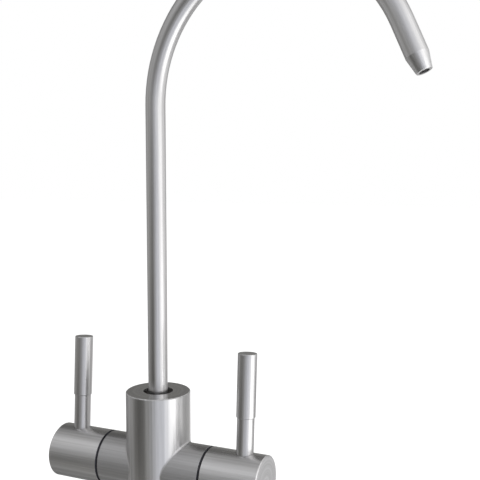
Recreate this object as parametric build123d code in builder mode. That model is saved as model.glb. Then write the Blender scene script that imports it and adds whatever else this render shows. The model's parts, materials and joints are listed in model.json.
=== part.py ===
from build123d import *

import os
from math import cos, radians, sin

# A kitchen tap with two quarter-turn levers and a swan-neck spout, in millimetres.
# The origin is the centre of the base seal's underside, where the tap stands on the worktop.
# +Z is up, +X runs along the valve barrel to the right lever, and -Y is the front.

# Fits, all on the radius or the half width
running_gap = 0.05
seat_gap = 0.05
free_gap = 0.4

# Body: an upright cylinder crossed by the valve barrel, whose two ends are the stubs
body_radius = 20.0
body_rise = 48.0
body_edge = 0.5
barrel_height = 50.0
barrel_radius = 17.0
stub_reach = 35.0
stub_edge = 0.3
saddle_fillet = 1.5
waterway_radius = 2.75

# Base ring and seal, between the body and the worktop
base_radius = 25.0
base_thickness = 6.0
base_chamfer = 1.2
base_seal_radius = 23.5
base_seal_bore = 17.0
base_seal_thickness = 1.5
body_foot_radius = 16.0
body_foot_depth = 4.0

# Threaded water inlets in the body's foot
inlet_spacing = 17.0
inlet_setback = 4.0
inlet_thread_radius = 4.5
inlet_thread_depth = 11.0

# Fixing under the worktop
stud_radius = 4.0
stud_offset = 10.0
stud_grip = 10.0
stud_spare = 8.0
worktop_thickness = 30.0
clamp_radius = 24.0
clamp_slot_half_width = 14.5
clamp_slot_setback = 2.5
clamp_gasket_thickness = 3.0
clamp_plate_thickness = 2.0
fixing_nut_width = 13.0
fixing_nut_length = 20.0

# Valve chambers, one in each stub, with distances along the barrel from the body's axis
chamber_reach = 14.0
chamber_radius = 10.0
valve_thread_radius = 10.5
valve_thread_length = 9.0
mouth_radius = 12.1
mouth_depth = 1.6
chamber_inlet_radius = 3.0

# Mixing chamber and spout bore, from the body's top downwards
spout_bore_radius = 9.2
spout_bore_depth = 26.0
mixing_radius = 6.0
mixing_depth = 10.0
riser_radius = 2.5
riser_start_reach = 22.5
riser_start_rise = 7.3
riser_angle = 31.0
riser_length = 22.5

# Ceramic discs and their seal
seat_seal_thickness = 2.0
seat_seal_width = 1.1
disc_radius = 7.5
disc_thickness = 3.0
disc_hole_radius = 1.9
disc_hole_offset = 4.4
disc_notch_angle = 76.0
disc_core_radius = 2.2
tongue_width = 3.0
tongue_height = 1.4

# Valve housing, screwed into its stub
housing_wall = 1.4
housing_lift = 0.6
housing_window_width = 9.0
flange_radius = 13.8
flange_thickness = 2.0
housing_hex_width = 24.0
housing_hex_length = 6.0
housing_nose_radius = 8.0
housing_nose_length = 7.0
housing_ring_section = 0.75

# Spindle, with the lug that stops it at each end of its quarter turn
spindle_radius = 4.5
spindle_foot_radius = 6.05
spindle_foot_thickness = 3.0
spindle_washer_thickness = 0.8
spindle_square = 6.3
spindle_square_length = 12.0
spindle_groove_inset = 2.0
spindle_groove_width = 2.0
spindle_ring_section = 0.7
spindle_collar = 1.0
stop_lug_radius = 7.2
stop_lug_length = 2.4
stop_lug_angle = 40.0
stop_slack = 3.0
circlip_radius = 6.3
circlip_thickness = 0.9
circlip_groove_radius = 3.6
circlip_opening = 4.0

# Hub: the end of the barrel that turns with the lever
seam_gap = 1.0
seam_ring_thickness = 0.7
seam_ring_radius = 16.6
hub_length = 36.5
hub_bore_radius = 14.4
hub_edge = 0.6
hub_screw_radius = 2.0
hub_screw_length = 8.0
hub_screw_key = 2.0

# The closed lever's direction in a lever plane's sketch, and its turn towards the front to open
lever_up = 90.0
quarter_turn = 90.0

# Lever: a stem screwed into the hub, with a round grip over it, leaning back when closed.
# Its offset is measured from the hub's start, and its other lengths from the barrel's axis.
lever_offset = 22.5
lever_lean = 3.75
stem_radius = 5.25
stem_seat = 15.8
stem_thread_radius = 3.0
stem_thread_length = 7.5
stem_core_radius = 4.0
grip_radius = 5.8
grip_bottom = 38.0
grip_top = 76.5
grip_end_wall = 6.0
grip_edge = 0.5

# Spout: a tube that rises, bends over and ends in a tapered nozzle
tube_radius = 6.0
tube_wall = 1.0
neck_rise = 175.0
bend_radius = 81.0
bend_angle = 155.0
mouth_run = 19.0
spout_turn = -8.3
nozzle_length = 9.0
nozzle_tip_radius = 4.15
nozzle_edge = 0.3
nozzle_spigot_length = 7.0
nozzle_bore_radius = 3.8
outlet_radius = 2.75
outlet_length = 6.0

# Spout foot: the turned brass end that swivels in the body
spout_washer_thickness = 1.5
foot_recess = 5.0
tube_socket_depth = 9.0
foot_ring_section = 0.9
foot_ring_groove = 2.4
foot_ring_heights = (3.0, 6.8)
glide_ring_height = 10.2
glide_ring_width = 1.6
glide_ring_depth = 1.2
retaining_groove_height = 14.5
retaining_groove_width = 4.2
retaining_groove_depth = 1.75
retaining_screw_radius = 2.5
retaining_tip_radius = 1.7
retaining_screw_recess = 1.0
retaining_screw_key = 2.5

# Levels up the tap
body_bottom = base_seal_thickness + base_thickness
body_top = barrel_height + body_rise
foot_bottom = body_bottom - body_foot_depth
spout_seat = body_top - spout_bore_depth
spout_foot_bottom = spout_seat + spout_washer_thickness
spout_foot_top = body_top - foot_recess
tube_bottom = spout_foot_top - tube_socket_depth
bend_start = body_top + neck_rise
retaining_height = spout_foot_bottom + retaining_groove_height
gasket_bottom = -worktop_thickness - clamp_gasket_thickness
plate_bottom = gasket_bottom - clamp_plate_thickness
nut_bottom = plate_bottom - fixing_nut_length
stud_bottom = nut_bottom - stud_spare

# Radii that fit one another
housing_bore_radius = disc_radius + 2 * seat_gap
housing_radius = housing_bore_radius + housing_wall
spout_foot_radius = spout_bore_radius - running_gap
retaining_groove_radius = spout_foot_radius - retaining_groove_depth
tube_bore_radius = tube_radius - tube_wall

# Stations along the barrel
fixed_disc_start = chamber_reach + seat_seal_thickness
moving_disc_start = fixed_disc_start + disc_thickness
spindle_start = moving_disc_start + disc_thickness
spindle_shoulder = spindle_start + spindle_foot_thickness
housing_shoulder = spindle_shoulder + spindle_washer_thickness
stop_ridge_start = spindle_start + free_gap
housing_hex_start = stub_reach + flange_thickness
housing_nose_start = housing_hex_start + housing_hex_length
housing_end = housing_nose_start + housing_nose_length
circlip_start = housing_end + 0.5 * free_gap
square_start = circlip_start + circlip_thickness + spindle_collar
square_end = square_start + spindle_square_length
spindle_groove_start = housing_hex_start + spindle_groove_inset
hub_start = stub_reach + seam_gap
hub_end_reach = hub_start + hub_length
lever_reach = hub_start + lever_offset
hub_floor = square_start + free_gap


def barrel_plane(reach):
    """Plane across the barrel, facing out along +X, with the sketch's Y axis upright."""
    return Plane(origin=(reach, 0, barrel_height), x_dir=(0, 1, 0), z_dir=(1, 0, 0))


def lever_plane(reach):
    """Barrel plane turned with the closed lever, so that the sketch's Y axis follows the lever."""
    lean = radians(lever_lean)
    return Plane(
        origin=(reach, 0, barrel_height),
        x_dir=(0, cos(lean), -sin(lean)),
        z_dir=(1, 0, 0),
    )


def stem_plane(distance):
    """Plane square to the closed lever, at a distance from the barrel's axis."""
    lean = radians(lever_lean)
    return Plane(
        origin=(lever_reach, distance * sin(lean), barrel_height + distance * cos(lean)),
        x_dir=(1, 0, 0),
        z_dir=(0, sin(lean), cos(lean)),
    )


def spout_point(reach, height):
    """Point in the upright plane of the spout."""
    turn = radians(spout_turn)
    return Vector(reach * cos(turn), reach * sin(turn), height)


def bar(plane, radius, length, mode=Mode.ADD):
    """Add a round bar that stands on a plane, or cut a round hole from that plane."""
    with BuildSketch(plane) as outline:
        Circle(radius)
    extrude(outline.sketch, amount=length, mode=mode)


def tube(plane, outer, inner, length, mode=Mode.ADD):
    """Add a round tube that stands on a plane, or cut a round groove."""
    with BuildSketch(plane) as outline:
        Circle(outer)
        Circle(inner, mode=Mode.SUBTRACT)
    extrude(outline.sketch, amount=length, mode=mode)


def hexagon_bar(plane, width, length, mode=Mode.ADD):
    """Add a hexagonal bar, or cut a hexagonal socket, of a given width across flats."""
    with BuildSketch(plane) as outline:
        RegularPolygon(width / 2, 6, major_radius=False)
    extrude(outline.sketch, amount=length, mode=mode)


def sector(radius, middle, spread, mode=Mode.ADD):
    """Sketch a pie slice about the sketch's centre, half its spread each side of its middle."""
    with BuildLine() as outline:
        rim = CenterArc((0, 0), radius, middle - spread / 2, spread)
        Line((0, 0), rim @ 0)
        Line((0, 0), rim @ 1)
    make_face(outline.edges(), mode=mode)


def rubber_ring(plane, middle_radius, section_radius):
    """Add a ring of round section that lies on a plane."""
    with Locations(plane.location):
        Torus(middle_radius, section_radius)


def grub_screw(plane, radius, length, key):
    """Add a headless screw that runs from a plane to its socket end."""
    bar(plane, radius, length)
    hexagon_bar(plane.offset(length - key), key, key, mode=Mode.SUBTRACT)


def horseshoe(plane, thickness):
    """Add a round clamp with a hole for the stud and a slot, open to the back, for the hoses."""
    with BuildSketch(plane) as outline:
        Circle(clamp_radius)
        with Locations((0, clamp_radius - clamp_slot_setback)):
            Rectangle(2 * clamp_slot_half_width, 2 * clamp_radius, mode=Mode.SUBTRACT)
        with Locations((0, -stud_offset)):
            Circle(stud_radius + seat_gap, mode=Mode.SUBTRACT)
    extrude(outline.sketch, amount=thickness)


def stud_plane(height):
    """Level plane on the fixing stud's axis."""
    return Plane.XY.offset(height).move(Location((0, -stud_offset, 0)))


def finish(piece, name):
    """Label a finished piece and write it to its own file."""
    piece.part.label = name
    export_step(piece.part, f"parts/{name}.step")


def finish_pair(piece, name):
    """Write a piece of the right-hand valve, and its mirror image for the left one."""
    finish(piece, f"right_{name}")
    with BuildPart() as twin:
        mirror(piece.part, about=Plane.YZ)
    finish(twin, f"left_{name}")


os.makedirs("parts", exist_ok=True)

# Body
with BuildPart() as tap_body:
    bar(Plane.XY.offset(body_bottom), body_radius, body_top - body_bottom)
    bar(barrel_plane(-stub_reach), barrel_radius, 2 * stub_reach)
    saddles = tap_body.edges().filter_by(
        lambda edge: edge.geom_type not in (GeomType.CIRCLE, GeomType.LINE)
    )
    fillet(saddles, saddle_fillet)
    chamfer(tap_body.faces().sort_by(Axis.Z)[-1].edges(), body_edge)
    stub_ends = tap_body.faces().sort_by(Axis.X)
    chamfer(stub_ends[0].edges() + stub_ends[-1].edges(), stub_edge)
    bar(Plane.XY.offset(foot_bottom), body_foot_radius, body_foot_depth)

    # Spout bore, with the mixing chamber below it
    bar(Plane.XY.offset(spout_seat), spout_bore_radius, spout_bore_depth, Mode.SUBTRACT)
    bar(Plane.XY.offset(spout_seat - mixing_depth), mixing_radius, mixing_depth, Mode.SUBTRACT)

    # Each valve chamber, its inlet from below and its riser to the mixing chamber
    for side in (-1, 1):
        mouth = Plane((side * stub_reach, 0, barrel_height), z_dir=(-side, 0, 0))
        bar(mouth, mouth_radius, mouth_depth, Mode.SUBTRACT)
        bar(mouth, valve_thread_radius, mouth_depth + valve_thread_length, Mode.SUBTRACT)
        bar(mouth, chamber_radius, stub_reach - chamber_reach, Mode.SUBTRACT)
        inlet_far_side = inlet_spacing / 2 - waterway_radius
        bar(mouth, chamber_inlet_radius, stub_reach - inlet_far_side, Mode.SUBTRACT)

        inlet = Plane((side * inlet_spacing / 2, inlet_setback, foot_bottom))
        waterway_height = barrel_height + waterway_radius - foot_bottom
        bar(inlet, inlet_thread_radius, inlet_thread_depth, Mode.SUBTRACT)
        bar(inlet, waterway_radius, waterway_height, Mode.SUBTRACT)

        riser_slope = radians(riser_angle)
        riser = Plane(
            (side * riser_start_reach, 0, barrel_height + riser_start_rise),
            z_dir=(-side * cos(riser_slope), 0, sin(riser_slope)),
        )
        bar(riser, riser_radius, riser_length, Mode.SUBTRACT)

    # Threaded hole for the fixing stud, and the retaining screw's hole through the back
    bar(stud_plane(foot_bottom), stud_radius + seat_gap, stud_grip, Mode.SUBTRACT)
    screw_line = Plane((0, 0, retaining_height), z_dir=(0, 1, 0))
    bar(screw_line, retaining_screw_radius + seat_gap, body_radius, Mode.SUBTRACT)
finish(tap_body, "tap_body")

# Base ring round the body's foot, on its seal
with BuildPart() as base_ring:
    ring_plane = Plane.XY.offset(base_seal_thickness)
    tube(ring_plane, base_radius, body_foot_radius + seat_gap, base_thickness)
    top_rims = base_ring.faces().sort_by(Axis.Z)[-1].edges()
    chamfer(top_rims.sort_by(SortBy.LENGTH)[-1], base_chamfer)
finish(base_ring, "base_ring")

with BuildPart() as base_seal:
    tube(Plane.XY, base_seal_radius, base_seal_bore, base_seal_thickness)
finish(base_seal, "base_seal")

# Fixing under the worktop: a stud, a horseshoe gasket and plate, and a long nut
with BuildPart() as fixing_stud:
    bar(stud_plane(stud_bottom), stud_radius, foot_bottom + stud_grip - stud_bottom)
finish(fixing_stud, "fixing_stud")

with BuildPart() as fixing_gasket:
    horseshoe(Plane.XY.offset(gasket_bottom), clamp_gasket_thickness)
finish(fixing_gasket, "fixing_gasket")

with BuildPart() as fixing_plate:
    horseshoe(Plane.XY.offset(plate_bottom), clamp_plate_thickness)
finish(fixing_plate, "fixing_plate")

with BuildPart() as fixing_nut:
    hexagon_bar(stud_plane(nut_bottom), fixing_nut_width, fixing_nut_length)
    bar(stud_plane(nut_bottom), stud_radius + seat_gap, fixing_nut_length, Mode.SUBTRACT)
finish(fixing_nut, "fixing_nut")

# Valve in each stub: a rubber seat, two ceramic discs and the housing that holds them
with BuildPart() as seat_seal:
    seat_seal_bore = disc_radius - seat_seal_width
    tube(barrel_plane(chamber_reach), disc_radius, seat_seal_bore, seat_seal_thickness)
finish_pair(seat_seal, "seat_seal")

with BuildPart() as fixed_disc:
    bar(lever_plane(fixed_disc_start), disc_radius, disc_thickness)
    with BuildSketch(lever_plane(fixed_disc_start)):
        with PolarLocations(disc_hole_offset, 2, start_angle=lever_up):
            Circle(disc_hole_radius)
    extrude(amount=disc_thickness, mode=Mode.SUBTRACT)
finish_pair(fixed_disc, "fixed_disc")

with BuildPart() as moving_disc:
    with BuildSketch(lever_plane(moving_disc_start)):
        Circle(disc_radius - free_gap)
        for opposite in (0, 180):
            notch_middle = lever_up - quarter_turn + opposite
            sector(2 * disc_radius, notch_middle, disc_notch_angle, Mode.SUBTRACT)
        Circle(disc_core_radius)
    extrude(amount=disc_thickness)
    slot_depth = tongue_height + seat_gap
    with BuildSketch(lever_plane(spindle_start - slot_depth)):
        Rectangle(tongue_width + 2 * seat_gap, 2 * disc_radius)
    extrude(amount=slot_depth, mode=Mode.SUBTRACT)
finish_pair(moving_disc, "moving_disc")

with BuildPart() as valve_housing:
    shell_start = chamber_reach + housing_lift
    bar(barrel_plane(shell_start), housing_radius, housing_shoulder - shell_start)
    thread_radius = valve_thread_radius - seat_gap
    bar(barrel_plane(housing_shoulder), thread_radius, stub_reach - housing_shoulder)
    bar(barrel_plane(stub_reach), flange_radius, flange_thickness)
    hexagon_bar(barrel_plane(housing_hex_start), housing_hex_width, housing_hex_length)
    bar(barrel_plane(housing_nose_start), housing_nose_radius, housing_nose_length)

    # Bores for the discs, the spindle's foot and the spindle
    disc_bore_length = stop_ridge_start - chamber_reach
    bar(barrel_plane(chamber_reach), housing_bore_radius, disc_bore_length, Mode.SUBTRACT)
    ridge_length = housing_shoulder - stop_ridge_start
    foot_bore = spindle_foot_radius + free_gap
    bar(barrel_plane(stop_ridge_start), foot_bore, ridge_length, Mode.SUBTRACT)
    spindle_bore = spindle_radius + running_gap
    spindle_bore_length = housing_end - housing_shoulder
    bar(barrel_plane(housing_shoulder), spindle_bore, spindle_bore_length, Mode.SUBTRACT)

    # Slot that the stop lug swings in, from lever upright to lever forward
    with BuildSketch(lever_plane(stop_ridge_start)):
        swing = quarter_turn + stop_lug_angle + 2 * stop_slack
        sector(housing_bore_radius, lever_up + quarter_turn / 2, swing)
    extrude(amount=ridge_length, mode=Mode.SUBTRACT)

    # Outlet windows in the front and the back, beside the moving disc
    window_middle = (moving_disc_start + spindle_start) / 2
    with BuildSketch(Plane((window_middle, 0, barrel_height), z_dir=(0, 1, 0))):
        Rectangle(disc_thickness, housing_window_width)
    extrude(amount=2 * housing_radius, both=True, mode=Mode.SUBTRACT)
finish_pair(valve_housing, "valve_housing")

with BuildPart() as housing_ring:
    ring_middle_radius = (valve_thread_radius + mouth_radius) / 2
    ring_middle = barrel_plane(stub_reach - mouth_depth / 2)
    rubber_ring(ring_middle, ring_middle_radius, housing_ring_section)
finish_pair(housing_ring, "housing_ring")

with BuildPart() as seam_ring:
    tube(barrel_plane(stub_reach), seam_ring_radius, flange_radius + seat_gap, seam_ring_thickness)
finish_pair(seam_ring, "seam_ring")

# Spindle, with its washer, its rubber ring and its circlip
with BuildPart() as spindle:
    bar(barrel_plane(spindle_start), spindle_foot_radius, spindle_foot_thickness)
    with BuildSketch(lever_plane(spindle_shoulder - stop_lug_length)):
        sector(stop_lug_radius, lever_up, stop_lug_angle)
    extrude(amount=stop_lug_length)
    with BuildSketch(lever_plane(spindle_start - tongue_height)):
        Rectangle(tongue_width, 2 * spindle_foot_radius)
    extrude(amount=tongue_height)
    bar(barrel_plane(spindle_shoulder), spindle_radius, square_start - spindle_shoulder)
    with BuildSketch(lever_plane(square_start)):
        Rectangle(spindle_square, spindle_square)
    extrude(amount=spindle_square_length)

    # Grooves for the rubber ring and the circlip
    groove_rim = spindle_radius + free_gap
    ring_groove = spindle_radius - 2 * spindle_ring_section
    ring_plane = barrel_plane(spindle_groove_start)
    tube(ring_plane, groove_rim, ring_groove, spindle_groove_width, Mode.SUBTRACT)
    clip_plane = barrel_plane(circlip_start - seat_gap)
    clip_width = circlip_thickness + 2 * seat_gap
    tube(clip_plane, groove_rim, circlip_groove_radius, clip_width, Mode.SUBTRACT)
finish_pair(spindle, "spindle")

with BuildPart() as spindle_washer:
    washer_bore = spindle_radius + 2 * seat_gap
    tube(barrel_plane(spindle_shoulder), spindle_foot_radius, washer_bore, spindle_washer_thickness)
finish_pair(spindle_washer, "spindle_washer")

with BuildPart() as spindle_ring:
    ring_middle = barrel_plane(spindle_groove_start + spindle_groove_width / 2)
    rubber_ring(ring_middle, spindle_radius - spindle_ring_section, spindle_ring_section)
finish_pair(spindle_ring, "spindle_ring")

with BuildPart() as spindle_circlip:
    with BuildSketch(lever_plane(circlip_start)):
        Circle(circlip_radius)
        Circle(circlip_groove_radius + seat_gap, mode=Mode.SUBTRACT)
        with Locations((0, -circlip_radius)):
            Rectangle(circlip_opening, 2 * circlip_radius, mode=Mode.SUBTRACT)
    extrude(amount=circlip_thickness)
finish_pair(spindle_circlip, "spindle_circlip")

# Hub: hollow over the housing's hexagon, solid where the spindle and the lever join it
with BuildPart() as hub:
    bar(barrel_plane(hub_start), barrel_radius, hub_end_reach - hub_start)
    chamfer(hub.faces().sort_by(Axis.X)[-1].edges(), hub_edge)
    chamfer(hub.faces().sort_by(Axis.X)[0].edges(), stub_edge)
    bar(barrel_plane(hub_start), hub_bore_radius, hub_floor - hub_start, Mode.SUBTRACT)
    with BuildSketch(lever_plane(hub_floor)):
        square_hole = spindle_square + 2 * seat_gap
        Rectangle(square_hole, square_hole)
    extrude(amount=square_end + free_gap - hub_floor, mode=Mode.SUBTRACT)

    # Flat seat and thread for the lever's stem, and the grub screw's hole on the far side
    bar(stem_plane(stem_seat), stem_radius + 0.5 * free_gap, barrel_radius, Mode.SUBTRACT)
    stem_hole_depth = stem_thread_length + free_gap
    stem_hole_plane = stem_plane(stem_seat - stem_hole_depth)
    bar(stem_hole_plane, stem_thread_radius + seat_gap, stem_hole_depth, Mode.SUBTRACT)
    bar(-stem_plane(0), hub_screw_radius + seat_gap, 2 * barrel_radius, Mode.SUBTRACT)
finish_pair(hub, "hub")

with BuildPart() as hub_screw:
    screw_tip = -stem_plane(-spindle_square / 2)
    grub_screw(screw_tip, hub_screw_radius, hub_screw_length, hub_screw_key)
finish_pair(hub_screw, "hub_screw")

# Lever: the stem screws into the hub, and the grip is a sleeve over the stem's core
with BuildPart() as lever_stem:
    bar(stem_plane(stem_seat - stem_thread_length), stem_thread_radius, stem_thread_length)
    bar(stem_plane(stem_seat), stem_radius, grip_bottom - stem_seat)
    bar(stem_plane(grip_bottom), stem_core_radius, grip_top - grip_end_wall - grip_bottom)
finish_pair(lever_stem, "lever_stem")

with BuildPart() as lever_grip:
    bar(stem_plane(grip_bottom), grip_radius, grip_top - grip_bottom)
    chamfer(lever_grip.faces().sort_by(Axis.Z)[0].edges(), grip_edge)
    fillet(lever_grip.faces().sort_by(Axis.Z)[-1].edges(), grip_edge)
    socket_depth = grip_top - grip_end_wall - grip_bottom + seat_gap
    bar(stem_plane(grip_bottom), stem_core_radius + seat_gap, socket_depth, Mode.SUBTRACT)
finish_pair(lever_grip, "lever_grip")

# Spout foot in the body, on a plastic washer, with its rings
with BuildPart() as spout_washer:
    washer_radius = spout_bore_radius - 2 * seat_gap
    tube(Plane.XY.offset(spout_seat), washer_radius, mixing_radius, spout_washer_thickness)
finish(spout_washer, "spout_washer")

foot_ring_groove_radius = spout_foot_radius - 2 * foot_ring_section
glide_groove_radius = spout_foot_radius - glide_ring_depth
groove_rim = spout_foot_radius + free_gap
with BuildPart() as spout_foot:
    foot_plane = Plane.XY.offset(spout_foot_bottom)
    foot_length = spout_foot_top - spout_foot_bottom
    bar(foot_plane, spout_foot_radius, foot_length)
    bar(foot_plane, tube_bore_radius, foot_length, Mode.SUBTRACT)
    socket_plane = Plane.XY.offset(tube_bottom)
    bar(socket_plane, tube_radius + seat_gap, tube_socket_depth, Mode.SUBTRACT)
    for ring_height in foot_ring_heights:
        groove = foot_plane.offset(ring_height - foot_ring_groove / 2)
        tube(groove, groove_rim, foot_ring_groove_radius, foot_ring_groove, Mode.SUBTRACT)
    groove = foot_plane.offset(glide_ring_height - glide_ring_width / 2 - seat_gap)
    glide_groove_width = glide_ring_width + 2 * seat_gap
    tube(groove, groove_rim, glide_groove_radius, glide_groove_width, Mode.SUBTRACT)
    groove = foot_plane.offset(retaining_groove_height - retaining_groove_width / 2)
    tube(groove, groove_rim, retaining_groove_radius, retaining_groove_width, Mode.SUBTRACT)
finish(spout_foot, "spout_foot")

with BuildPart() as spout_rings:
    for ring_height in foot_ring_heights:
        ring_middle = Plane.XY.offset(spout_foot_bottom + ring_height)
        rubber_ring(ring_middle, spout_foot_radius - foot_ring_section, foot_ring_section)
finish(spout_rings, "spout_rings")

with BuildPart() as spout_glide_ring:
    glide_plane = Plane.XY.offset(spout_foot_bottom + glide_ring_height - glide_ring_width / 2)
    tube(glide_plane, spout_foot_radius, glide_groove_radius + seat_gap, glide_ring_width)
finish(spout_glide_ring, "spout_glide_ring")

# Retaining screw: its plain tip runs in the foot's groove and keeps the spout from lifting out
with BuildPart() as spout_screw:
    tip_start = retaining_groove_radius + free_gap
    thread_start = spout_bore_radius + free_gap
    thread_length = body_radius - retaining_screw_recess - thread_start
    tip_plane = Plane((0, tip_start, retaining_height), z_dir=(0, 1, 0))
    thread_plane = Plane((0, thread_start, retaining_height), z_dir=(0, 1, 0))
    bar(tip_plane, retaining_tip_radius, thread_start - tip_start)
    grub_screw(thread_plane, retaining_screw_radius, thread_length, retaining_screw_key)
finish(spout_screw, "spout_screw")

# Spout tube: straight up, over one large bend and down to the mouth
bend_sweep = radians(bend_angle)
bend_end_reach = bend_radius * (1 - cos(bend_sweep))
bend_end_height = bend_start + bend_radius * sin(bend_sweep)
mouth_reach = bend_end_reach + mouth_run * sin(bend_sweep)
mouth_height = bend_end_height + mouth_run * cos(bend_sweep)
spout_direction = spout_point(1, 0)
spout_plane = Plane((0, 0, 0), x_dir=spout_direction, z_dir=spout_direction.cross(Vector(0, 0, 1)))
with BuildPart() as spout_tube:
    with BuildLine(spout_plane):
        Line((0, tube_bottom), (0, bend_start))
        CenterArc((bend_radius, bend_start), bend_radius, 180, -bend_angle)
        Line((bend_end_reach, bend_end_height), (mouth_reach, mouth_height))
    with BuildSketch(Plane.XY.offset(tube_bottom)):
        Circle(tube_radius)
        Circle(tube_bore_radius, mode=Mode.SUBTRACT)
    sweep()
finish(spout_tube, "spout_tube")

# Outlet nozzle: a cone that carries the tube's outside down to the mouth
with BuildPart() as outlet_nozzle:
    mouth_direction = spout_point(sin(bend_sweep), cos(bend_sweep))
    mouth = Plane(spout_point(mouth_reach, mouth_height), z_dir=mouth_direction)
    with Locations(mouth.location):
        Cone(
            tube_radius,
            nozzle_tip_radius,
            nozzle_length,
            align=(Align.CENTER, Align.CENTER, Align.MIN),
        )
    tip_face = outlet_nozzle.faces().filter_by(GeomType.PLANE).sort_by(Axis.Z)[0]
    fillet(tip_face.edges(), nozzle_edge)
    spigot_plane = mouth.offset(-nozzle_spigot_length)
    whole_length = nozzle_spigot_length + nozzle_length
    bar(spigot_plane, tube_bore_radius - seat_gap, nozzle_spigot_length)
    bar(spigot_plane, nozzle_bore_radius, whole_length - outlet_length, Mode.SUBTRACT)
    bar(spigot_plane, outlet_radius, whole_length, Mode.SUBTRACT)
finish(outlet_nozzle, "outlet_nozzle")
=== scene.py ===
import json
from math import cos, pi, radians, sin, tan

import bpy
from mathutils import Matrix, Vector

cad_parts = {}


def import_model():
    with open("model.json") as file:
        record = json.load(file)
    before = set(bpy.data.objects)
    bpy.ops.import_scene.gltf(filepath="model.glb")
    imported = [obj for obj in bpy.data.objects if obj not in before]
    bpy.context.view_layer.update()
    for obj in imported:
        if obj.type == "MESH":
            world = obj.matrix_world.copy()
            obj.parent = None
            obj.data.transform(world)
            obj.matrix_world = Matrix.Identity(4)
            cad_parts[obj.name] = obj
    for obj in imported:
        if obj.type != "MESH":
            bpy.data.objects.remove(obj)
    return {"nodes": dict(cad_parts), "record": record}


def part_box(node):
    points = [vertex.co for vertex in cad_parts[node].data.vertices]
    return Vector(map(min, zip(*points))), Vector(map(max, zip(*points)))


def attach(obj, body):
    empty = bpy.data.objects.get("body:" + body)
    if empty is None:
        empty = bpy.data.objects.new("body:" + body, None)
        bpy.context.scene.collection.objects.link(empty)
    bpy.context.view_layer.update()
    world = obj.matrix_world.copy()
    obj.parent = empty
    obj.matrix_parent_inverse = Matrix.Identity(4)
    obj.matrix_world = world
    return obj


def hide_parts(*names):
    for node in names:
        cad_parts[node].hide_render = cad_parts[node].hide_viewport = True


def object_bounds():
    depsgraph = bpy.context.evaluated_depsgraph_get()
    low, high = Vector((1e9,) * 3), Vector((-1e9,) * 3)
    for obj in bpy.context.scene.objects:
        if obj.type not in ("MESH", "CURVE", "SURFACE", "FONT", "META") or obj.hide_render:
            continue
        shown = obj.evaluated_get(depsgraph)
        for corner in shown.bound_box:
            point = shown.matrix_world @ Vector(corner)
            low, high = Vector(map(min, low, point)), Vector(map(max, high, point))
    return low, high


# A kitchen tap with two quarter-turn levers and a swan-neck spout, in metres and in the part's frame.
# The barrel runs along X, the body and the fixing stud stand along Z, and -Y is the front.

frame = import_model()
cad_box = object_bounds()

MM = 0.001

# Body, barrel and levers
BODY_RADIUS = 20.0 * MM
BARREL_HEIGHT = 50.0 * MM
BARREL_RADIUS = 17.0 * MM
LEVER_REACH = 58.5 * MM
LEVER_LEAN = radians(3.75)

# Swan neck: where its bend starts, and how it turns
BEND_START = 273.0 * MM
BEND_RADIUS = 81.0 * MM
BEND_SWEEP = radians(155.0)
SPOUT_TURN = radians(-8.3)

# Fixing stud and nut
STUD_OFFSET = 10.0 * MM
THREAD_PITCH = 1.25 * MM
THREAD_DEPTH = 0.68 * MM
THREAD_SIDES = 36
RINGS_A_PITCH = 8
FLANK_GAIN = 1.6
ROOT_FLAT = 0.2
THREAD_SMOOTH = radians(50.0)
NUT_BORE = 4.05 * MM
NUT_CHAMFER = radians(30.0)
NUT_FACE_SHARE = 0.96
BORE_CHAMFER = 0.5 * MM
NUT_SIDES = 96
NUT_SMOOTH = radians(15.0)
QUARTER_TURN = 0.25

# Camera, as the photograph was taken
CAMERA_PLACE = (0.23700, -0.40195, 0.23356)
CAMERA_HEADING = 0.4235
CAMERA_PITCH = -0.0894
CAMERA_LENS = 57.17
CAMERA_SENSOR = 36.0
CAMERA_NEAR = 0.01
CAMERA_FAR = 30.0

X_AXIS = (1.0, 0.0, 0.0)
Y_AXIS = (0.0, 1.0, 0.0)
Z_AXIS = (0.0, 0.0, 1.0)
NOWHERE = (0.0, 0.0, 0.0)


# Shader maths


class Wire:
    """A value in a node tree. Arithmetic on it adds Math nodes."""

    def __init__(self, shader, socket):
        self.shader = shader
        self.socket = socket

    def maths(self, operation, first, second=0.0):
        return self.shader.node("Math", {"operation": operation}, {0: first, 1: second})

    def __add__(self, other):
        return self.maths("ADD", self, other)

    def __sub__(self, other):
        return self.maths("SUBTRACT", self, other)

    def __rsub__(self, other):
        return self.maths("SUBTRACT", other, self)

    def __mul__(self, other):
        return self.maths("MULTIPLY", self, other)

    def __gt__(self, other):
        return self.maths("GREATER_THAN", self, other)

    def __abs__(self):
        return self.maths("ABSOLUTE", self)

    def at_least(self, other):
        return self.maths("MAXIMUM", self, other)

    def at_most(self, other):
        return self.maths("MINIMUM", self, other)

    def sine(self):
        return self.maths("SINE", self)

    def cosine(self):
        return self.maths("COSINE", self)

    def heading_from(self, other):
        """Angle of the point whose height is this value and whose distance is the other."""
        return self.maths("ARCTAN2", self, other)

    __radd__ = __add__
    __rmul__ = __mul__


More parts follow.
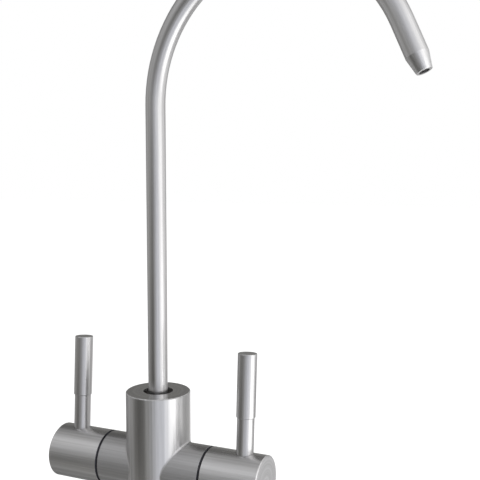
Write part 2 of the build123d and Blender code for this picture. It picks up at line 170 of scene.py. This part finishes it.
class Shader:
    """A node tree, filled by one method that adds a node of any type."""

    def __init__(self, tree):
        tree.nodes.clear()
        self.tree = tree

    def node(self, kind, settings, inputs, output=0):
        """Add a node, make its settings, fill its sockets and return one of its outputs."""
        made = self.tree.nodes.new(f"ShaderNode{kind}")
        for name, value in settings.items():
            if name == "stops":
                set_stops(made.color_ramp.elements, value)
            else:
                setattr(made, name, value)
        for name, value in inputs.items():
            if isinstance(value, Wire):
                self.tree.links.new(value.socket, made.inputs[name])
            else:
                made.inputs[name].default_value = value
        return Wire(self, made.outputs[output]) if made.outputs else None

    def place(self):
        """Position in the part's frame, at rest."""
        return self.node("TexCoord", {}, {}, "Object")

    def normal(self):
        return self.node("NewGeometry", {}, {}, "Normal")

    def vector(self, operation, first, second=NOWHERE, output=0):
        return self.node("VectorMath", {"operation": operation}, {0: first, 1: second}, output)

    def reach(self, place, axis):
        """Distance of a place along an axis."""
        return self.vector("DOT_PRODUCT", place, axis, "Value")

    def join(self, x, y, z):
        return self.node("CombineXYZ", {}, {"X": x, "Y": y, "Z": z})

    def length(self, vector):
        return self.vector("LENGTH", vector, NOWHERE, "Value")

    def noise(self, place, scale=1.0, detail=2.0, roughness=0.5):
        """Noise from about 0 to 1, with a number of features to each unit of place."""
        sockets = {"Vector": place, "Scale": scale, "Detail": detail, "Roughness": roughness}
        return self.node("TexNoise", {}, sockets)

    def ease(self, value, low, high):
        """A smooth step from 0 at a low value to 1 at a high one."""
        sockets = {"Value": value, "From Min": low, "From Max": high}
        return self.node("MapRange", {"interpolation_type": "SMOOTHSTEP"}, sockets)

    def blend(self, amount, first, second):
        """Colour or vector between two."""
        return self.node("Mix", {"data_type": "RGBA"}, {0: amount, 6: first, 7: second}, 2)

    def bump(self, height, distance, normal=None):
        """Normal roughened by a height, on top of another normal if there is one."""
        sockets = {"Strength": 1.0, "Distance": distance, "Height": height}
        if normal is not None:
            sockets["Normal"] = normal
        return self.node("Bump", {}, sockets)

    def surface(self, **sockets):
        """End in a Principled surface."""
        inputs = {name.replace("_", " "): value for name, value in sockets.items()}
        self.finish(self.node("BsdfPrincipled", {}, inputs))

    def finish(self, surface):
        self.node("OutputMaterial", {}, {"Surface": surface})


def set_stops(elements, stops):
    """Set a ramp's stops, given as pairs of place and colour."""
    while len(elements) > 1:
        elements.remove(elements[-1])
    for index, (place, tone) in enumerate(stops):
        element = elements[0] if index == 0 else elements.new(place)
        element.position = place
        element.color = tone


def colour(red, green, blue):
    return (red, green, blue, 1.0)


def grey(tone):
    return colour(tone, tone, tone)


def new_material(name):
    """An empty material and its shader."""
    material = bpy.data.materials.new(name)
    material.use_nodes = True
    return material, Shader(material.node_tree)


def new_object(name, data):
    """An object in the scene."""
    made = bpy.data.objects.new(name, data)
    bpy.context.scene.collection.objects.link(made)
    return made


def new_mesh_object(name, points, faces, material):
    mesh = bpy.data.meshes.new(name)
    mesh.from_pydata(points, [], faces)
    mesh.materials.append(material)
    return new_object(name, mesh)


# Brushed steel. A lay is a place whose first two parts lie across the brushing and whose third
# runs along it, so that noise stretched along the third part makes scratches.

STEEL_LIGHT = colour(0.74, 0.735, 0.74)
STEEL_DARK = colour(0.47, 0.465, 0.46)
# Dark colour for the seams, and for the painted shade that darkens the stubs and the hub ends
STEEL_SEAM_AND_SHADE = colour(0.05, 0.05, 0.06)

# Hairs, strands and broad bands: how many to a metre across and along the brushing, the noise's
# detail, their share of the steel's tone, and their height
BRUSHING = (
    (4200.0, 40.0, 3.0, 0.25, 0.022 * MM),
    (900.0, 6.0, 2.0, 0.30, 0.05 * MM),
    (380.0, 2.5, 1.0, 0.45, 0.12 * MM),
)
NOISE_MIDDLE = 0.5
MARK_FLOOR = 0.3
MARK_CONTRAST = 2.5
MARK_SWING = 0.14
SMEARS_A_METRE = 45.0
SMEAR_DETAIL = 3.0
SMEAR_ROUGHNESS = 0.6
SMEAR_SWING = 0.06

# Roughness and painted shade of each surface, and where one gives way to the next
ROD_ROUGHNESS = 0.33
TOP_ROUGHNESS = 0.17
STUB_ROUGHNESS = 0.53
HUB_ROUGHNESS = 0.42
HUB_END_ROUGHNESS = 0.72
HUB_END_SHADE = 0.2
CREST_ROUGHNESS = 0.26
CREST_START = BARREL_HEIGHT + 0.80 * BARREL_RADIUS
CREST_FULL = BARREL_HEIGHT + 0.97 * BARREL_RADIUS
STUB_SHADE = 0.2
SEAM_MIDDLE = 35.6 * MM
SEAM_HALF = 0.85 * MM
STUB_MARGIN = 0.5 * MM

# How squarely a face looks along an axis, from 0 for a side to 1 for an end, to count as each
ROD_END_FACING = 0.8
FLAT_END_FACING = 0.95
CURVE_FACING = 0.06


def distance_out(shader, place):
    """Distance of a place from the body's axis."""
    level = shader.join(shader.reach(place, X_AXIS), shader.reach(place, Y_AXIS), 0.0)
    return shader.length(level)


def rod_lay(shader, centre, first, second, axis):
    """Lengthwise brushing of a round bar, with rings on the ends that lie square to its axis."""
    place = shader.vector("SUBTRACT", shader.place(), centre)
    across = shader.join(shader.reach(place, first), shader.reach(place, second), 0.0)
    along = shader.join(0.0, 0.0, shader.reach(place, axis))
    rings = shader.join(shader.length(across), 0.0, 0.0)
    on_end = abs(shader.reach(shader.normal(), axis)) > ROD_END_FACING
    return shader.blend(on_end, shader.vector("ADD", across, along), rings)


def upright_lay(shader):
    return rod_lay(shader, NOWHERE, X_AXIS, Y_AXIS, Z_AXIS)


def barrel_lay(shader):
    return rod_lay(shader, (0.0, 0.0, BARREL_HEIGHT), Y_AXIS, Z_AXIS, X_AXIS)


def lever_lay(shader, reach):
    """Brushing of a lever that stands at a distance along the barrel."""
    backward = (0.0, cos(LEVER_LEAN), -sin(LEVER_LEAN))
    upward = (0.0, sin(LEVER_LEAN), cos(LEVER_LEAN))
    return rod_lay(shader, (reach, 0.0, BARREL_HEIGHT), X_AXIS, backward, upward)


def turned_lay(shader):
    """Rings round the body's axis, as a lathe leaves them."""
    place = shader.place()
    return shader.join(distance_out(shader, place), shader.reach(place, Z_AXIS), 0.0)


def spout_lay(shader):
    """Brushing that follows the swan neck up, round its bend and down to its mouth."""
    outward = (cos(SPOUT_TURN), sin(SPOUT_TURN), 0.0)
    sideways = (-sin(SPOUT_TURN), cos(SPOUT_TURN), 0.0)
    place = shader.vector("SUBTRACT", shader.place(), (0.0, 0.0, BEND_START))
    rise = shader.reach(place, Z_AXIS)
    inward = BEND_RADIUS - shader.reach(place, outward)
    turn = rise.heading_from(inward).at_least(0.0).at_most(BEND_SWEEP)
    cosine = turn.cosine()
    sine = turn.sine()
    outside = inward * cosine + rise * sine - BEND_RADIUS
    along = rise * cosine - inward * sine + turn * BEND_RADIUS
    return shader.join(outside, shader.reach(place, sideways), along)


def scratches(shader, lay, across, along, detail):
    return shader.noise(shader.vector("MULTIPLY", lay, (across, across, along)), detail=detail)


def seam_clearance(shader):
    """1 on the barrel, and 0 on the dark edges that face each other across its seams."""
    reach = abs(shader.reach(shader.place(), X_AXIS))
    return abs(reach - SEAM_MIDDLE) > SEAM_HALF


def crest(shader):
    """1 along the top of the barrel, where it shines more sharply, and 0 lower down."""
    return shader.ease(shader.reach(shader.place(), Z_AXIS), CREST_START, CREST_FULL)


def brushed_surface(shader, lay, roughness, seam_and_shade_factor=1.0):
    """Steel with fine hairs, strands and broad bands along its lay, darkened at the seams and by
    painted shade where the factor is below 1.
    """
    mark = 0.0
    normal = None
    for across, along, detail, share, height in BRUSHING:
        layer = scratches(shader, lay, across, along, detail)
        mark = mark + share * layer
        normal = shader.bump(layer, height, normal)
    smears = shader.noise(shader.place(), SMEARS_A_METRE, SMEAR_DETAIL, SMEAR_ROUGHNESS)
    steel = shader.blend((mark - MARK_FLOOR) * MARK_CONTRAST, STEEL_DARK, STEEL_LIGHT)
    roughness = roughness + MARK_SWING * (mark - NOISE_MIDDLE) + SMEAR_SWING * (smears - NOISE_MIDDLE)
    shader.surface(
        Base_Color=shader.blend(seam_and_shade_factor, STEEL_SEAM_AND_SHADE, steel),
        Metallic=1.0,
        Roughness=roughness,
        Normal=normal,
    )


def brushed_steel(name, find_lay, roughness, **place):
    material, shader = new_material(name)
    brushed_surface(shader, find_lay(shader, **place), roughness)
    return material


def body_steel():
    """Brushed upright on the body, with a smoother top, and along the barrel on its stubs.

    The stubs and the curved rims are duller, the stubs shine more sharply along their crests, and a
    painted shade darkens the stubs.
    """
    material, shader = new_material("body_steel")
    on_stub = distance_out(shader, shader.place()) > BODY_RADIUS + STUB_MARGIN
    slope = abs(shader.reach(shader.normal(), Z_AXIS))
    on_top = (slope > FLAT_END_FACING) * (1.0 - on_stub)
    dull = on_stub.at_least(slope > CURVE_FACING)
    lay = shader.blend(on_stub, upright_lay(shader), barrel_lay(shader))
    roughness = ROD_ROUGHNESS + (STUB_ROUGHNESS - ROD_ROUGHNESS) * dull
    roughness = roughness + (TOP_ROUGHNESS - STUB_ROUGHNESS) * on_top
    roughness = roughness + (CREST_ROUGHNESS - STUB_ROUGHNESS) * crest(shader) * on_stub
    # Darker at the seams, and a painted shade dims the stubs by STUB_SHADE
    seam_and_shade_factor = seam_clearance(shader) * (1.0 - STUB_SHADE * on_stub)
    brushed_surface(shader, lay, roughness, seam_and_shade_factor)
    return material


def hub_steel():
    """Brushed along the barrel, with a sharper shine along its crest, and a duller end that a painted
    shade darkens.
    """
    material, shader = new_material("hub_steel")
    on_end = abs(shader.reach(shader.normal(), X_AXIS)) > FLAT_END_FACING
    roughness = HUB_ROUGHNESS + (CREST_ROUGHNESS - HUB_ROUGHNESS) * crest(shader)
    roughness = roughness + (HUB_END_ROUGHNESS - roughness) * on_end
    # Darker at the seams, and a painted shade dims the flat end by HUB_END_SHADE
    seam_and_shade_factor = seam_clearance(shader) * (1.0 - HUB_END_SHADE * on_end)
    brushed_surface(shader, barrel_lay(shader), roughness, seam_and_shade_factor)
    return material


# Other finishes: features to a metre, noise detail, height, and how far the roughness swings

METAL_CLOUDS = 260.0
METAL_CLOUD_DETAIL = 4.0
METAL_SWING = 0.15
GRIT_A_METRE = 9000.0
GRIT_HEIGHT = 0.01 * MM
MOULD_CLOUDS = 180.0
MOULD_CLOUD_DETAIL = 3.0
MOULD_SWING = 0.12
GRAIN_HEIGHT = 0.015 * MM


def plain_metal(name, light, dark, roughness):
    """Turned or plated metal with a cloudy tone and fine grit."""
    material, shader = new_material(name)
    place = shader.place()
    clouds = shader.noise(place, METAL_CLOUDS, METAL_CLOUD_DETAIL)
    grit = shader.noise(place, GRIT_A_METRE)
    shader.surface(
        Base_Color=shader.blend(clouds, dark, light),
        Metallic=1.0,
        Roughness=roughness + METAL_SWING * (clouds - NOISE_MIDDLE),
        Normal=shader.bump(grit, GRIT_HEIGHT),
    )
    return material


def moulded(name, light, dark, roughness, grain):
    """Rubber, plastic or ceramic with a fine grain."""
    material, shader = new_material(name)
    place = shader.place()
    clouds = shader.noise(place, MOULD_CLOUDS, MOULD_CLOUD_DETAIL)
    specks = shader.noise(place, grain)
    shader.surface(
        Base_Color=shader.blend(clouds, dark, light),
        Roughness=roughness + MOULD_SWING * (specks - NOISE_MIDDLE),
        Normal=shader.bump(specks, GRAIN_HEIGHT),
    )
    return material


hub_finish = hub_steel()
spout_steel = brushed_steel("spout_steel", spout_lay, ROD_ROUGHNESS)
left_lever_steel = brushed_steel("left_lever_steel", lever_lay, ROD_ROUGHNESS, reach=-LEVER_REACH)
right_lever_steel = brushed_steel("right_lever_steel", lever_lay, ROD_ROUGHNESS, reach=LEVER_REACH)

NODE_FINISHES = {
    "tap_body": body_steel(),
    "base_ring": brushed_steel("ring_steel", turned_lay, ROD_ROUGHNESS),
    "left_hub": hub_finish,
    "right_hub": hub_finish,
    "left_lever_stem": left_lever_steel,
    "left_lever_grip": left_lever_steel,
    "right_lever_stem": right_lever_steel,
    "right_lever_grip": right_lever_steel,
    "spout_tube": spout_steel,
    "outlet_nozzle": spout_steel,
    # The spout foot's brass is painted near black, a painted shade for the recess it sits in
    "spout_foot": plain_metal("brass_painted_shade", colour(0.06, 0.05, 0.035), colour(0.03, 0.025, 0.02), 0.45),
}
SLOT_FINISHES = {
    "zinc_plated_steel": plain_metal("zinc_plate", grey(0.62), grey(0.48), 0.30),
    "brass": plain_metal("brass", colour(0.80, 0.62, 0.30), colour(0.66, 0.48, 0.20), 0.28),
    "black_rubber": moulded("rubber", grey(0.035), grey(0.018), 0.62, 5000.0),
    "black_plastic": moulded("seam_plastic", colour(0.02, 0.02, 0.03), grey(0.01), 0.4, 4000.0),
    "white_plastic": moulded("slide_plastic", colour(0.82, 0.82, 0.78), grey(0.72), 0.35, 3000.0),
    "ceramic": moulded("ceramic", colour(0.88, 0.86, 0.80), colour(0.80, 0.78, 0.72), 0.20, 2500.0),
}

for row in frame["record"]["subparts"]:
    node = row["node"]
    finish = NODE_FINISHES.get(node) or SLOT_FINISHES[row["material_slot"]]
    for material_slot in frame["nodes"][node].material_slots:
        material_slot.material = finish


# Fixing stud and nut, with the thread and the chamfers that the plain solids leave out


def new_piece(name, points, faces, finish, smooth_below):
    """A piece that rides on the body, smooth where its faces meet at less than an angle."""
    piece = new_mesh_object(name, points, faces, SLOT_FINISHES[finish])
    piece.data.validate()
    piece.data.shade_smooth()
    piece.data.set_sharp_from_angle(angle=smooth_below)
    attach(piece, "body")
    return piece


def ring_faces(rings, sides, closed=False):
    """Quads between rings of points that follow one another, and back to the first if closed."""
    faces = []
    for low in range(rings if closed else rings - 1):
        start = low * sides
        end = (low + 1) % rings * sides
        for left in range(sides):
            right = (left + 1) % sides
            faces.append((start + left, start + right, end + right, end + left))
    return faces


def thread_rise(turns):
    """Height of the thread from 0 in its root to 1 on its crest, by turns round it or along it."""
    wave = 0.5 + 0.5 * cos(2 * pi * turns)
    return min(1.0, max(0.0, FLANK_GAIN * wave - ROOT_FLAT))


def threaded_stud():
    """Stud whose thread winds up it and fades into a chamfer at each end."""
    low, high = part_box("fixing_stud")
    radius = (high.x - low.x) / 2
    steps = round((high.z - low.z) / THREAD_PITCH * RINGS_A_PITCH)
    points = []
    for step in range(steps + 1):
        height = low.z + (high.z - low.z) * step / steps
        end_distance = min(height - low.z, high.z - height)
        chamfer_radius = radius - THREAD_DEPTH + min(THREAD_DEPTH, end_distance)
        for side in range(THREAD_SIDES):
            turn = side / THREAD_SIDES
            rise = thread_rise((height - low.z) / THREAD_PITCH - turn)
            reach = min(chamfer_radius, radius - THREAD_DEPTH * (1 - rise))
            angle = 2 * pi * turn
            points.append((reach * cos(angle), reach * sin(angle) - STUD_OFFSET, height))
    faces = ring_faces(steps + 1, THREAD_SIDES)
    faces.append(tuple(reversed(range(THREAD_SIDES))))
    faces.append(tuple(range(steps * THREAD_SIDES, (steps + 1) * THREAD_SIDES)))
    piece = new_piece("threaded_stud", points, faces, "zinc_plated_steel", THREAD_SMOOTH)
    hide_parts("fixing_stud")


def corner_reach(turn, flat):
    """Distance from a hexagon's middle to its side, for a flat at turn 0."""
    return flat / cos((turn * 2 * pi + pi / 6) % (pi / 3) - pi / 6)


def hexagon_nut():
    """Long nut with chamfered corners and a chamfered bore at both ends."""
    low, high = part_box("fixing_nut")
    flat = min(high.x - low.x, high.y - low.y) / 2
    first_turn = QUARTER_TURN if high.x - low.x > high.y - low.y else 0.0
    face_radius = flat * NUT_FACE_SHARE
    mouth_radius = NUT_BORE + BORE_CHAMFER
    points = []

    def add_ring(height, radius, corner_fall=0.0):
        for side in range(NUT_SIDES):
            corner = corner_reach(side / NUT_SIDES, flat)
            reach = radius or corner
            angle = 2 * pi * (side / NUT_SIDES + first_turn)
            level = height - corner_fall * (corner - face_radius) * tan(NUT_CHAMFER)
            points.append((reach * cos(angle), reach * sin(angle) - STUD_OFFSET, level))

    add_ring(low.z + BORE_CHAMFER, NUT_BORE)
    add_ring(low.z, mouth_radius)
    add_ring(low.z, face_radius)
    add_ring(low.z, None, corner_fall=-1.0)
    add_ring(high.z, None, corner_fall=1.0)
    add_ring(high.z, face_radius)
    add_ring(high.z, mouth_radius)
    add_ring(high.z - BORE_CHAMFER, NUT_BORE)
    faces = ring_faces(len(points) // NUT_SIDES, NUT_SIDES, closed=True)
    piece = new_piece("hexagon_nut", points, faces, "brass", NUT_SMOOTH)
    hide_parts("fixing_nut")


threaded_stud()
hexagon_nut()


# Studio: white world and floor, lamps for the matt surfaces, and a tent that the metal reflects

MATT_LIGHT = 0.85
FLOOR_HALF = 6.0
FLOOR_DROP = 1.0 * MM
FLOOR_TONE = 0.9
FLOOR_GLOW = 0.28
LAMP_TARGET = Vector((0.04, 0.0, 0.15))


def seen_ray(shader):
    """1 for what the camera, metal and glass see, and 0 for the light on matt surfaces."""
    camera_ray = shader.node("LightPath", {}, {}, "Is Camera Ray")
    glossy_ray = shader.node("LightPath", {}, {}, "Is Glossy Ray")
    glass_ray = shader.node("LightPath", {}, {}, "Is Transmission Ray")
    return camera_ray.at_least(glossy_ray).at_least(glass_ray)


def world():
    """White where it is seen, and a plain soft light on matt surfaces."""
    studio = bpy.data.worlds.new("studio")
    bpy.context.scene.world = studio
    studio.use_nodes = True
    shader = Shader(studio.node_tree)
    tone = shader.blend(seen_ray(shader), grey(MATT_LIGHT), grey(1.0))
    background = shader.node("Background", {}, {"Color": tone})
    shader.node("OutputWorld", {}, {"Surface": background})


def stage_piece(name, points, faces, material):
    piece = new_mesh_object(name, points, faces, material)
    return piece


def floor():
    """A wide white floor just under the stud, clear when seen from below."""
    height = cad_box[0].z - FLOOR_DROP
    signs = ((-1, -1), (1, -1), (1, 1), (-1, 1))
    corners = [(FLOOR_HALF * x, FLOOR_HALF * y, height) for x, y in signs]
    material, shader = new_material("floor_white")
    matt = shader.node("BsdfDiffuse", {}, {"Color": grey(FLOOR_TONE)})
    glow = shader.node("Emission", {}, {"Strength": seen_ray(shader) * FLOOR_GLOW})
    lit = shader.node("AddShader", {}, {0: matt, 1: glow})
    clear = shader.node("BsdfTransparent", {}, {})
    below = shader.node("NewGeometry", {}, {}, "Backfacing")
    shader.finish(shader.node("MixShader", {}, {0: below, 1: lit, 2: clear}))
    stage_piece("floor", corners, [(0, 1, 2, 3)], material)


def soft_lamp(name, heading, height, distance, width, tall, glow):
    """A rectangular lamp facing the tap, whose face has a brightness where 1 is white."""
    place = Vector((distance * cos(heading), distance * sin(heading), height)) + LAMP_TARGET
    light = bpy.data.lights.new(name, "AREA")
    light.shape = "RECTANGLE"
    light.size = width
    light.size_y = tall
    light.energy = glow * width * tall * pi
    lamp = new_object(name, light)
    lamp.location = place
    lamp.rotation_euler = (LAMP_TARGET - place).to_track_quat("-Z", "Y").to_euler()
    lamp.visible_glossy = False


TENT_RADIUS = 1.6
TENT_TOP = 1.6
TENT_SIDES = 96
TAP_MIDDLE = (0.02, 0.0, 0.10)

# How far a full tint takes each colour from the tone
TINT_RED = 0.03
TINT_GREEN = 0.01
TINT_BLUE = 0.06

# The tent's tones by heading round the tap, each with a tint from warm (-1) to cool (1). They were
# set after brightnesses sampled from the photograph by the direction that the steel
# reflects, so they come from its pixels, and a plainer light has to take their place.
NEAR_TONES = (
    (-180, 0.20, -0.2), (-168, 0.22, -0.2), (-155, 0.34, -0.4), (-145, 0.38, -0.4), (-132, 0.30, -0.8),
    (-122, 0.20, -1.0), (-112, 0.22, -1.0), (-100, 0.34, -0.6), (-90, 0.48, 0.0), (-80, 0.62, 0.6),
    (-68, 0.80, 1.0), (-56, 0.92, 1.0), (-42, 0.86, 1.0), (-34, 0.98, 0.8), (-26, 1.25, 0.4),
    (-18, 1.6, 0.0), (-10, 1.75, 0.0), (8, 1.75, 0.0), (17, 1.5, 0.0), (24, 1.2, 0.0), (33, 0.85, 0.0),
    (45, 0.60, 0.0), (58, 0.50, -0.3), (80, 0.50, 0.0), (130, 0.40, 0.0), (150, 0.30, 0.0),
    (165, 0.27, 0.0), (180, 0.20, -0.2),
)
GROUND_TONES = (
    (-180, 0.48, -0.2), (-165, 0.30, -0.2), (-150, 0.21, -0.7), (-135, 0.04, -1.0), (-118, 0.04, -1.0),
    (-110, 0.18, -0.9), (-100, 0.30, -0.6), (-90, 0.42, 0.0), (-80, 0.58, 0.6), (-68, 0.78, 1.0),
    (-56, 0.92, 1.0), (-42, 0.86, 1.0), (-34, 0.98, 0.8), (-26, 1.25, 0.4), (-18, 2.1, 0.0),
    (-10, 2.6, 0.0), (8, 2.6, 0.0), (17, 2.2, 0.0), (24, 1.25, 0.0), (33, 0.66, 0.0), (45, 0.46, 0.0),
    (58, 0.36, -0.3), (68, 0.40, 0.0), (80, 0.66, 0.0), (96, 0.95, 0.0), (118, 1.0, 0.0),
    (134, 0.60, 0.0), (150, 0.26, 0.0), (165, 0.22, 0.0), (180, 0.52, -0.2),
)
LEVEL_TONES = (
    (-180, 0.58, -0.2), (-170, 0.48, -0.2), (-158, 0.40, -0.2), (-140, 0.30, -0.7), (-125, 0.28, -0.6),
    (-110, 0.25, -0.5), (-98, 0.23, 0.0), (-88, 0.28, 0.3), (-80, 0.36, 0.5), (-70, 0.47, 0.8),
    (-60, 0.57, 1.0), (-50, 0.69, 1.0), (-42, 0.80, 1.0), (-34, 0.92, 0.8), (-25, 1.05, 0.4),
    (-16, 1.35, 0.0), (-8, 1.85, 0.0), (8, 1.85, 0.0), (17, 1.2, 0.0), (27, 0.92, 0.0), (38, 0.86, 0.0),
    (50, 0.88, 0.0), (65, 0.80, 0.0), (78, 0.65, 0.0), (95, 0.38, 0.0), (110, 0.28, -0.5),
    (135, 0.28, -0.5), (160, 0.38, 0.0), (180, 0.58, 0.0),
)
RAISED_TONES = (
    (-180, 0.50, 0.0), (-160, 0.44, 0.0), (-150, 0.44, 0.0), (-140, 0.48, 0.0), (-130, 0.56, 0.1),
    (-117, 0.46, 0.2), (-103, 0.32, 0.3), (-92, 0.42, 0.4), (-80, 0.70, 0.6), (-66, 0.92, 0.7),
    (-52, 1.1, 0.6), (-42, 1.3, 0.4), (-34, 1.6, 0.2), (-26, 1.9, 0.0), (-14, 2.0, 0.0), (-6, 1.7, 0.0),
    (2, 1.3, 0.0), (12, 1.1, 0.0), (28, 0.95, 0.0), (45, 0.84, 0.0), (60, 0.72, 0.0), (80, 0.48, 0.0),
    (100, 0.28, -0.2), (112, 0.22, -0.5), (135, 0.20, -0.5), (150, 0.26, 0.0), (165, 0.38, 0.0),
    (180, 0.50, 0.0),
)
HIGH_TONES = (
    (-180, 0.42, 0.0), (-170, 0.46, 0.0), (-160, 0.54, 0.0), (-150, 0.60, 0.0), (-140, 0.92, 0.0),
    (-130, 1.45, 0.2), (-118, 1.45, 0.3), (-105, 0.50, 0.4), (-94, 0.38, 0.5), (-80, 0.68, 0.6),
    (-60, 0.84, 0.6), (-42, 1.0, 0.4), (-30, 1.2, 0.2), (-18, 1.4, 0.0), (-4, 1.5, 0.0), (8, 1.4, 0.0),
    (20, 1.15, 0.0), (35, 0.92, 0.0), (55, 0.70, 0.0), (80, 0.34, 0.0), (105, 0.14, -0.5),
    (140, 0.14, -0.5), (152, 0.22, 0.0), (165, 0.30, 0.0), (180, 0.42, 0.0),
)
ROOF_TONES = ((-180, 0.55, 0.0),)

# Each band's tones, and between which heights above the level they take over from the band below
TENT_BANDS = (
    (GROUND_TONES, -34, -24),
    (LEVEL_TONES, -16, -2),
    (RAISED_TONES, 3, 14),
    (HIGH_TONES, 22, 38),
    (ROOF_TONES, 44, 85),
)


def tent_colour(tone, cool):
    """A tone with a tint, from warm at -1 to cool at 1."""
    red = tone * (1 - TINT_RED * cool)
    green = tone * (1 - TINT_GREEN * cool)
    blue = tone * (1 + TINT_BLUE * cool)
    return colour(red, green, blue)


def tent_ramp(shader, turn, tones):
    """Colour of the tent by heading, for a turn from 0 at -180 degrees to 1 at 180."""
    stops = [((heading + 180.0) / 360.0, tent_colour(tone, cool)) for heading, tone, cool in tones]
    return shader.node("ValToRGB", {"stops": stops}, {"Fac": turn})


def tent_cloth():
    """Tones by direction from the tap."""
    material, shader = new_material("tent_cloth")
    sight = shader.vector("NORMALIZE", shader.vector("SUBTRACT", shader.place(), TAP_MIDDLE))
    heading = shader.reach(sight, Y_AXIS).heading_from(shader.reach(sight, X_AXIS))
    turn = heading * (0.5 / pi) + 0.5
    rise = shader.reach(sight, Z_AXIS)
    cloth = tent_ramp(shader, turn, NEAR_TONES)
    for tones, start, full in TENT_BANDS:
        share = shader.ease(rise, sin(radians(start)), sin(radians(full)))
        cloth = shader.blend(share, cloth, tent_ramp(shader, turn, tones))
    shader.finish(shader.node("Emission", {}, {"Color": cloth}))
    return material


def tent_ring(height):
    turns = [2 * pi * side / TENT_SIDES for side in range(TENT_SIDES)]
    return [(TENT_RADIUS * cos(turn), TENT_RADIUS * sin(turn), height) for turn in turns]


def tent():
    """A closed tent round the tap that only reflections see."""
    points = tent_ring(cad_box[0].z - FLOOR_DROP / 2) + tent_ring(TENT_TOP)
    faces = ring_faces(2, TENT_SIDES)
    faces.append(tuple(range(TENT_SIDES)))
    faces.append(tuple(range(TENT_SIDES, 2 * TENT_SIDES)))
    piece = stage_piece("tent", points, faces, tent_cloth())
    piece.visible_camera = False
    piece.visible_diffuse = False
    piece.visible_shadow = False
    piece.visible_transmission = False
    piece.visible_volume_scatter = False


world()
floor()
soft_lamp("side_lamp", radians(-6), height=0.4, distance=1.0, width=0.6, tall=1.0, glow=1.6)
soft_lamp("roof_lamp", radians(-120), height=1.0, distance=0.5, width=1.3, tall=1.3, glow=0.6)
tent()


def camera():
    data = bpy.data.cameras.new("camera")
    data.sensor_width = CAMERA_SENSOR
    data.lens = CAMERA_LENS
    data.clip_start = CAMERA_NEAR
    data.clip_end = CAMERA_FAR
    piece = new_object("camera", data)
    piece.location = CAMERA_PLACE
    piece.rotation_euler = (pi / 2 + CAMERA_PITCH, 0.0, CAMERA_HEADING)
    bpy.context.scene.camera = piece


camera()

bpy.context.scene.view_settings.view_transform = "Standard"
